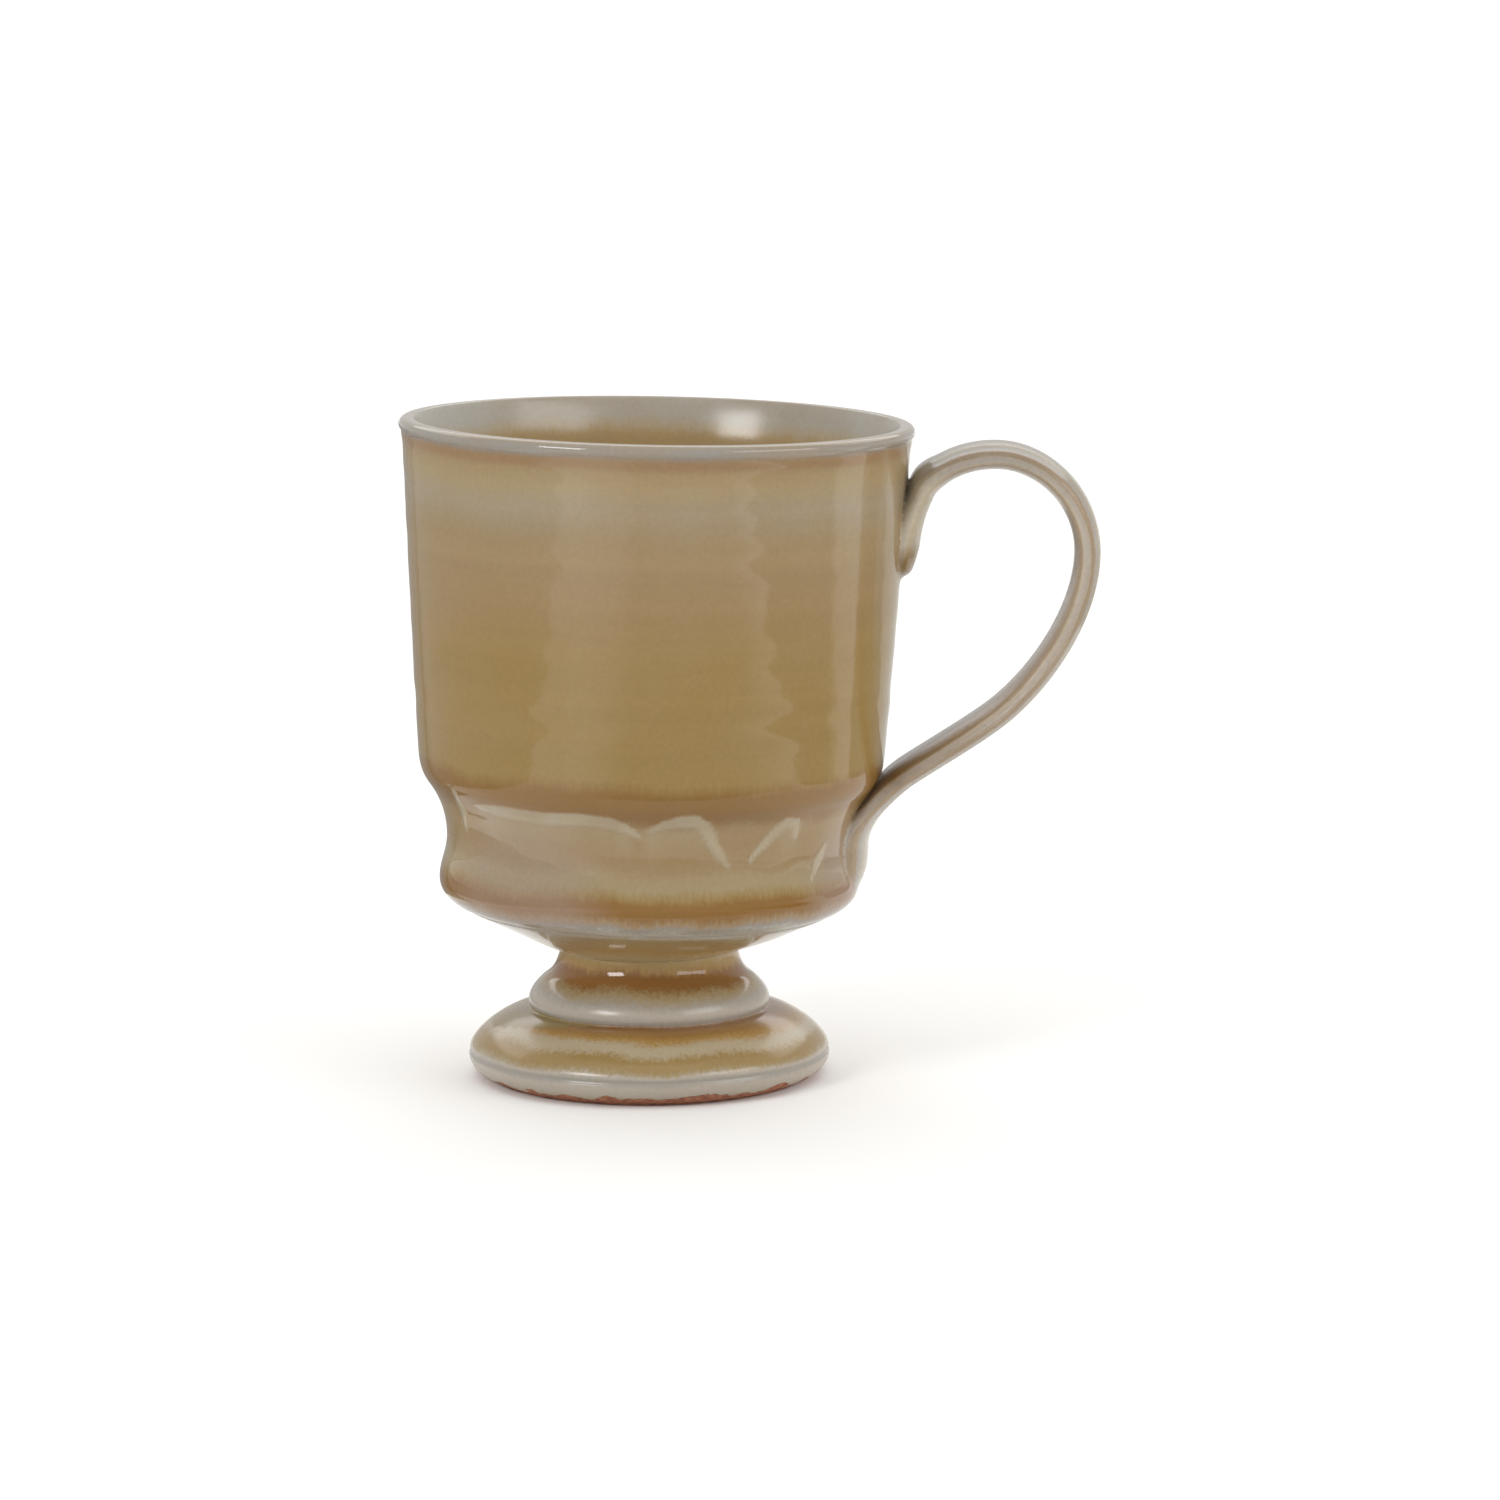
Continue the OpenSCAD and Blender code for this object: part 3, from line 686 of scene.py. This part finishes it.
def makeWallGlaze(look, p):
    material = bpy.data.materials.new("glossyAshGlaze")
    material.use_nodes = True
    tree = material.node_tree
    shader = tree.nodes["Principled BSDF"]
    place = addNode(tree, "ShaderNodeTexCoord").outputs["Object"]
    # the bowl's own frame, with its lean taken back
    lean = math.radians(-p["lean"])
    pivot = Vector((p["shift"], 0, p["leanHeight"])) * mm
    back = Vector((0, 0, p["leanHeight"])) * mm - Matrix.Rotation(lean, 3, "Y") @ pivot
    bowl = addNode(tree, "ShaderNodeMapping", {"Vector": place, "Location": back, "Rotation": (0, lean, 0)})
    footHeight = addNode(tree, "ShaderNodeSeparateXYZ", {"Vector": place}).outputs["Z"]
    bowlHeight = addNode(tree, "ShaderNodeSeparateXYZ", {"Vector": bowl}).outputs["Z"]
    hairs = feathered(tree, bowl, 1700, 260, 0.00045)
    drift = feathered(tree, bowl, 60, 30, 0.0008)
    within = addNode(tree, "ShaderNodeAttribute", attribute_name="within").outputs["Fac"]
    banded = heightBands(tree, look, footHeight, bowlHeight, hairs, drift, within)
    drifted = softPatches(tree, look, place, bowlHeight, banded, within)
    # thin level bands from the wheel
    turned = addNode(tree, "ShaderNodeMapping", {"Vector": bowl, "Scale": (9, 9, 330)})
    wheel = addNode(tree, "ShaderNodeTexNoise", {"Vector": turned, "Scale": 1.0, "Detail": 3.0})
    streaks = setRamp(addNode(tree, "ShaderNodeValToRGB", {"Fac": wheel}), [(0.3, 0.47), (0.7, 0.53)])
    shaded = addNode(tree, "ShaderNodeMix", {0: 0.5, 6: drifted, 7: streaks},
                     data_type="RGBA", blend_type="OVERLAY")
    grained = speckled(tree, place, shaded.outputs[2], 0.35, 0.05)
    # pale runs under the shoulder, a painted reflection of the pale floor in the waist, with an edge as
    # ragged as the hairs
    runs = addNode(tree, "ShaderNodeAttribute", attribute_name="runs").outputs["Fac"]
    frayed = addNode(tree, "ShaderNodeMath", {0: hairs, 1: 250.0}, operation="MULTIPLY")
    edge = addNode(tree, "ShaderNodeMath", {0: runs, 1: frayed}, operation="ADD")
    crisp = addNode(tree, "ShaderNodeMapRange", {"Value": edge, "From Min": 0.35, "From Max": -0.35})
    depth = addNode(tree, "ShaderNodeAttribute", attribute_name="paleReflection").outputs["Fac"]
    thick = addNode(tree, "ShaderNodeMath", {0: crisp, 1: depth}, operation="MULTIPLY")
    reflectionMottle = addNode(tree, "ShaderNodeTexNoise", {"Vector": place, "Scale": 150.0, "Detail": 3.0})
    paintedPaleShare, full = look["reflectionShare"]
    reflectionStrength = addNode(tree, "ShaderNodeMapRange", {
        "Value": reflectionMottle, "From Min": 0.3, "From Max": 0.7, "To Min": paintedPaleShare, "To Max": full})
    reflectionMask = addNode(tree, "ShaderNodeMath", {0: thick, 1: reflectionStrength}, operation="MULTIPLY")
    withReflectionRuns = addNode(tree, "ShaderNodeMix", {0: reflectionMask, 6: grained, 7: colour(look["colours"]["paleReflection"])},
                       data_type="RGBA").outputs[2]
    bare = bareClay(tree, look, place, footHeight)
    grog = addNode(tree, "ShaderNodeTexNoise", {"Vector": place, "Scale": 900.0, "Detail": 4.0})
    clay = setRamp(addNode(tree, "ShaderNodeValToRGB", {"Fac": grog}), look["clay"])
    surface = addNode(tree, "ShaderNodeMix", {0: bare, 6: withReflectionRuns, 7: clay}, data_type="RGBA")
    tree.links.new(surface.outputs[2], shader.inputs["Base Color"])
    # the foot and the inside are satin, and so is the thin glaze on the edges
    onFoot = addNode(tree, "ShaderNodeMapRange", {"Value": footHeight, "From Min": 0.018, "From Max": 0.015})
    sheltered = addNode(tree, "ShaderNodeMath", {0: onFoot, 1: within}, operation="MAXIMUM")
    gloss = addNode(tree, "ShaderNodeMix", {0: sheltered, 2: look["roughness"], 3: look["satinRoughness"]})
    paleness = addNode(tree, "ShaderNodeRGBToBW", {"Color": withReflectionRuns})
    paler = addNode(tree, "ShaderNodeMapRange", {"Value": paleness, "From Min": 0.22, "From Max": 0.34})
    satin = addNode(tree, "ShaderNodeMix", {0: paler, 2: gloss, 3: look["paleRoughness"]})
    shine = addNode(tree, "ShaderNodeMix", {0: bare, 2: satin, 3: look["clayRoughness"]})
    tree.links.new(shine.outputs[0], shader.inputs["Roughness"])
    shader.inputs["IOR"].default_value = look["ior"]
    # the glaze lies 0.2 mm thick, pools in runs and has a faint orange peel
    lack = addNode(tree, "ShaderNodeMath", {0: bare, 1: look["bareRelief"]}, operation="MULTIPLY")
    pools = addNode(tree, "ShaderNodeMath", {0: thick, 1: look["runRelief"]}, operation="MULTIPLY")
    coat = addNode(tree, "ShaderNodeMath", {0: lack, 1: pools}, operation="ADD")
    dimples = addNode(tree, "ShaderNodeTexNoise", {"Vector": place, "Scale": 420.0, "Detail": 2.0})
    peel = addNode(tree, "ShaderNodeMath", {0: dimples, 1: look["peel"]}, operation="MULTIPLY")
    addRelief(tree, shader, addNode(tree, "ShaderNodeMath", {0: peel, 1: coat}, operation="ADD"))
    return material


# The same glaze on the pulled strap, thin and grey over its edges, brown where it runs into the joins.
# The section runs from the strap's inner face to its outer face, the other tables from root to pad.
strapLook = {
    "roughness": 0.16,
    "ior": 1.5,
    "section": [
        (0.0, "#978C7E"), (0.12, "#9A8E7E"), (0.26, "#A08F7A"), (0.38, "#AC9F8B"), (0.42, "#A89F94"),
        (0.46, "#A29A8F"), (0.52, "#A4988A"), (0.62, "#8C7A62"), (0.78, "#8B775E"), (0.9, "#968C7A"),
        (1.0, "#9A907F"),
    ],
    "along": [(0.0, 0.1), (0.1, 0.05), (0.2, 0.05), (0.5, 0.05), (0.6, 0.3), (0.69, 0.6), (0.74, 0.95),
              (0.78, 0.5), (0.86, 0.1), (1.0, 0.3)],
    # painted shade over the top of the loop, as a factor by the share of the way along
    "crown": [(0.0, 1.0), (0.16, 1.0), (0.22, 0.84), (0.34, 0.84), (0.42, 1.0)],
    # painted light near the upper join, over the shade there, by the share of the way along
    "paintedPaleShare": [(0.0, 0.0), (0.06, 0.2), (0.12, 0.65), (0.18, 0.55), (0.24, 0.0)],
    # the colour of that painted light
    "pale": "#B2A78F",
    "brown": "#745425",
    "groove": "#8E8A84",
    "grooveShare": 0.7,
    "hollow": "#785E34",
    "peel": 0.03,           # orange peel and the relief of the streaks, mm
    "streaks": 0.12,
}


def makeHandleGlaze(look):
    material = bpy.data.materials.new("glossyAshGlazeOnStrap")
    material.use_nodes = True
    tree = material.node_tree
    shader = tree.nodes["Principled BSDF"]
    place = addNode(tree, "ShaderNodeTexCoord").outputs["Object"]
    ownMap = addNode(tree, "ShaderNodeUVMap", uv_map="strap")
    strapMap = addNode(tree, "ShaderNodeSeparateXYZ", {"Vector": ownMap})
    way = strapMap.outputs["Y"]
    turn = addNode(tree, "ShaderNodeMath", {0: strapMap.outputs["X"], 1: 2 * math.pi}, operation="MULTIPLY")
    rise = addNode(tree, "ShaderNodeMath", {0: turn}, operation="COSINE")
    side = addNode(tree, "ShaderNodeMath", {0: turn}, operation="SINE")
    # streaks that run along the strap, half a millimetre wide
    across = addNode(tree, "ShaderNodeMath", {0: side, 1: 9.0}, operation="MULTIPLY")
    through = addNode(tree, "ShaderNodeMath", {0: rise, 1: 7.0}, operation="MULTIPLY")
    length = addNode(tree, "ShaderNodeMath", {0: way, 1: 14.0}, operation="MULTIPLY")
    drawn = addNode(tree, "ShaderNodeCombineXYZ", {"X": across, "Y": through, "Z": length})
    streak = addNode(tree, "ShaderNodeTexNoise", {
        "Vector": drawn, "Scale": 1.0, "Detail": 4.0, "Roughness": 0.6})
    wander = addNode(tree, "ShaderNodeMapRange", {
        "Value": streak, "From Min": 0.3, "From Max": 0.7, "To Min": -0.13, "To Max": 0.13})
    level = addNode(tree, "ShaderNodeMath", {0: rise, 1: wander}, operation="ADD")
    scaled = addNode(tree, "ShaderNodeMapRange", {"Value": level, "From Min": -1.0, "From Max": 1.0})
    section = setRamp(addNode(tree, "ShaderNodeValToRGB", {"Fac": scaled}), look["section"])
    # blue grey in the two pulled grooves of the outer face
    offCentre = addNode(tree, "ShaderNodeMath", {0: side}, operation="ABSOLUTE")
    offGroove = addNode(tree, "ShaderNodeMath", {0: offCentre, 1: 0.7}, operation="SUBTRACT")
    gap = addNode(tree, "ShaderNodeMath", {0: offGroove}, operation="ABSOLUTE")
    fromGroove = addNode(tree, "ShaderNodeMapRange", {"Value": gap, "From Min": 0.13, "From Max": 0.03})
    outward = addNode(tree, "ShaderNodeMapRange", {"Value": rise, "From Min": 0.2, "From Max": 0.5})
    inGroove = addNode(tree, "ShaderNodeMath", {0: fromGroove, 1: outward}, operation="MULTIPLY")
    greyness = addNode(tree, "ShaderNodeMath", {0: inGroove, 1: look["grooveShare"]}, operation="MULTIPLY")
    grooved = addNode(tree, "ShaderNodeMix", {0: greyness, 6: section, 7: colour(look["groove"])},
                      data_type="RGBA").outputs[2]
    # brown pools towards the joins, on the inner half
    along = setRamp(addNode(tree, "ShaderNodeValToRGB", {"Fac": way}), look["along"])
    innerHalf = addNode(tree, "ShaderNodeMapRange", {"Value": level, "From Min": 0.35, "From Max": -0.45})
    offInside = addNode(tree, "ShaderNodeMapRange", {"Value": level, "From Min": -1.0, "From Max": -0.75})
    pool = addNode(tree, "ShaderNodeMath", {0: innerHalf, 1: along}, operation="MULTIPLY")
    pooled = addNode(tree, "ShaderNodeMath", {0: pool, 1: offInside}, operation="MULTIPLY")
    browned = addNode(tree, "ShaderNodeMix", {0: pooled, 6: grooved, 7: colour(look["brown"])},
                      data_type="RGBA").outputs[2]
    # painted shade darkens the top of the loop, and painted light makes the strap paler where it bends away
    # from the rim, next to the join
    crown = setRamp(addNode(tree, "ShaderNodeValToRGB", {"Fac": way}), look["crown"])
    crowned = addNode(tree, "ShaderNodeMix", {0: 1.0, 6: browned, 7: crown},
                      data_type="RGBA", blend_type="MULTIPLY").outputs[2]
    # painted light: paler next to the upper join
    paintedPaleShare = setRamp(addNode(tree, "ShaderNodeValToRGB", {"Fac": way}), look["paintedPaleShare"])
    withRootLight = addNode(tree, "ShaderNodeMix", {0: paintedPaleShare, 6: crowned, 7: colour(look["pale"])},
                    data_type="RGBA").outputs[2]
    # the facet pressed in the tail keeps a pool of ochre
    beside = addNode(tree, "ShaderNodeMath", {0: side, 1: 0.06}, operation="MULTIPLY")
    facet = addNode(tree, "ShaderNodeCombineXYZ", {"X": way, "Y": beside})
    offFacet = addNode(tree, "ShaderNodeVectorMath", {0: facet, 1: (0.045, -0.035, 0)}, operation="DISTANCE")
    pressed = addNode(tree, "ShaderNodeMapRange", {
        "Value": offFacet.outputs["Value"], "From Min": 0.05, "From Max": 0.02})
    ochred = addNode(tree, "ShaderNodeMix", {0: pressed, 6: withRootLight, 7: colour(look["hollow"])},
                     data_type="RGBA").outputs[2]
    tree.links.new(speckled(tree, place, ochred, 0.5, 0.06), shader.inputs["Base Color"])
    shader.inputs["Roughness"].default_value = look["roughness"]
    shader.inputs["IOR"].default_value = look["ior"]
    dimples = addNode(tree, "ShaderNodeTexNoise", {"Vector": place, "Scale": 420.0, "Detail": 2.0})
    peel = addNode(tree, "ShaderNodeMath", {0: dimples, 1: look["peel"]}, operation="MULTIPLY")
    ridges = addNode(tree, "ShaderNodeMath", {0: streak, 1: look["streaks"]}, operation="MULTIPLY")
    addRelief(tree, shader, addNode(tree, "ShaderNodeMath", {0: peel, 1: ridges}, operation="ADD"))
    return material


print("making the glazes")
wallGlaze = makeWallGlaze(glazeLook, thrown)
handleGlaze = makeHandleGlaze(strapLook)

print("throwing the body")
mug = throwBody(thrown)
shapeBody(mug, thrown)

print("pulling and joining the handle")
handle = pullStrap(strap)
joinClay(mug, handle, strap)
markBody(mug, thrown)
bpy.ops.object.select_all(action="DESELECT")
mug.select_set(True)
bpy.context.view_layer.objects.active = mug
bpy.ops.object.shade_smooth_by_angle(angle=math.radians(60))
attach(mug, "root")
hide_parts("mug")
print("faces", len(mug.data.polygons))

# A pale floor, five soft lamps, a lamp on the backdrop, and grey flags of painted shade on the floor for the
# gloss to mirror
studio = {
    "floorColour": "#F2F1EF",
    "floorSize": 30,
    "world": 0.71,
    "camera": (0.017989, -1.000547, 0.214953),
    "pitch": 8.937,
    "roll": -0.184,
    "lens": 138.42,
    "sensor": 36,
    "aim": (0, 0, 0.06),
    # name, azimuth from the camera, height, distance, width, tall, power
    "lights": [
        ("keyLeft", -43, 0.74, 1.3, 0.5, 0.38, 7.2),
        ("keyRight", 58, 0.74, 1.3, 1.0, 0.5, 5),
        ("overhead", 0, 1.9, 0.15, 1.6, 1.6, 3),
        ("panelLeft", -68, 0.3, 1.5, 1.7, 0.45, 2.2),
        ("panelRight", 82, 0.3, 1.5, 1.7, 0.45, 6.5),
    ],
    "backdropPlace": (0, 4.5, 3),
    "backdropSize": (8, 6),
    "backdrop": 200,
    # flags of painted shade on the floor, unseen by the camera: corners, then the greys of two opposite
    # sides
    "flagHeight": 0.001,
    "flags": [
        ([(-0.168, -0.077), (-0.76, -1.01), (-2.0, -0.3), (-0.13, -0.03)], "#A2A29C", "#A2A29C"),
        ([(-0.13, -0.03), (-2.0, -0.3), (-1.6, 2.4), (-0.12, 0.12)], "#A2A29C", "#70706C"),
        ([(-0.09, 0.02), (-1.6, 2.4), (0.1, 2.4), (0.0, 0.3)], "#70706C", "#5A5A56"),
        ([(-0.1, -0.1), (-0.65, -1.05), (-0.17, -1.2), (-0.02, -0.12)], "#F2F1EF", "#A8A8A4"),
        ([(-0.02, -0.12), (-0.17, -1.2), (0.53, -1.02), (0.135, -0.1)], "#A8A8A4", "#9C9C98"),
        ([(0.135, -0.1), (0.53, -1.02), (0.64, -0.95), (0.192, -0.043)], "#9C9C98", "#F2F1EF"),
        ([(0.192, -0.043), (0.64, -0.95), (0.955, -0.587), (0.198, 0.002)], "#6A6A66", "#80807C"),
        ([(0.198, 0.002), (0.955, -0.587), (1.7, -0.2), (0.21, 0.03)], "#80807C", "#D8D8D4"),
        ([(0.2, 0.065), (1.6, 0.43), (1.4, 0.85), (0.19, 0.235)], "#8E8E88", "#8E8E88"),
        ([(0.19, 0.235), (1.4, 0.85), (0.9, 2.4), (0.03, 0.35)], "#C4C4BE", "#C4C4BE"),
    ],
}


def layFloor(look):
    bpy.ops.object.select_all(action="DESELECT")
    bpy.ops.mesh.primitive_plane_add(size=look["floorSize"])
    floor = bpy.context.object
    floor.name = "studioFloor"
    # matt pale paper
    paper = bpy.data.materials.new("mattPaleFloor")
    paper.use_nodes = True
    shader = paper.node_tree.nodes["Principled BSDF"]
    shader.inputs["Base Color"].default_value = colour(look["floorColour"])
    shader.inputs["Roughness"].default_value = 0.9
    shader.inputs["Specular IOR Level"].default_value = 0.1
    floor.data.materials.append(paper)


def addLamp(name, place, turn, size, power):
    bpy.ops.object.light_add(type="AREA", location=place)
    lamp = bpy.context.object
    lamp.name = name
    lamp.rotation_euler = turn
    lamp.data.shape = "RECTANGLE"
    lamp.data.size, lamp.data.size_y = size
    lamp.data.energy = power
    lamp.visible_camera = False
    return lamp


def lightRoom(look):
    world = bpy.data.worlds.new("softRoom")
    bpy.context.scene.world = world
    world.use_nodes = True
    world.node_tree.nodes["Background"].inputs["Color"].default_value = (1, 1, 1, 1)
    world.node_tree.nodes["Background"].inputs["Strength"].default_value = look["world"]
    for name, azimuth, height, distance, width, tall, power in look["lights"]:
        turn = math.radians(azimuth)
        place = Vector((distance * math.sin(turn), -distance * math.cos(turn), height))
        aim = (Vector(look["aim"]) - place).to_track_quat("-Z", "Y")
        lamp = addLamp(name, place, aim.to_euler(), (width, tall), power)
        # the side panels are hidden from glossy rays, so that the gloss shows no hard image of them
        lamp.visible_glossy = not name.startswith("panel")
    addLamp("backdropLight", look["backdropPlace"], (0, 0, 0), look["backdropSize"], look["backdrop"])


def layFlags(look):
    # the flags are painted shade on the floor and show in reflections only
    for number, (corners, near, far) in enumerate(look["flags"]):
        # matt grey painted shade that changes evenly from one side to the other
        shadeSheet = bpy.data.materials.new(f"reflectedShade{number}")
        shadeSheet.use_nodes = True
        tree = shadeSheet.node_tree
        ownMap = addNode(tree, "ShaderNodeUVMap", uv_map="UVMap")
        flat = addNode(tree, "ShaderNodeSeparateXYZ", {"Vector": ownMap})
        shade = addNode(tree, "ShaderNodeMix", {0: flat.outputs["Y"], 6: colour(near), 7: colour(far)},
                        data_type="RGBA")
        tree.links.new(shade.outputs[2], tree.nodes["Principled BSDF"].inputs["Base Color"])
        bpy.ops.mesh.primitive_plane_add(size=1)
        flag = bpy.context.object
        flag.name = f"flag{number}"
        for vertex, corner in zip([flag.data.vertices[i] for i in (0, 1, 3, 2)], corners):
            vertex.co = (*corner, look["flagHeight"])
        flag.data.materials.append(shadeSheet)
        flag.visible_camera = flag.visible_diffuse = flag.visible_shadow = False


def setCamera(look):
    bpy.ops.object.camera_add(location=look["camera"])
    camera = bpy.context.object
    tilt = Matrix.Rotation(math.radians(90 - look["pitch"]), 3, "X")
    camera.rotation_euler = (tilt @ Matrix.Rotation(math.radians(look["roll"]), 3, "Z")).to_euler()
    camera.data.sensor_width = look["sensor"]
    camera.data.lens = look["lens"]
    camera.data.clip_end = 60
    bpy.context.scene.camera = camera
    bpy.context.scene.view_settings.view_transform = "Standard"


print("setting the studio")
layFloor(studio)
lightRoom(studio)
layFlags(studio)
setCamera(studio)
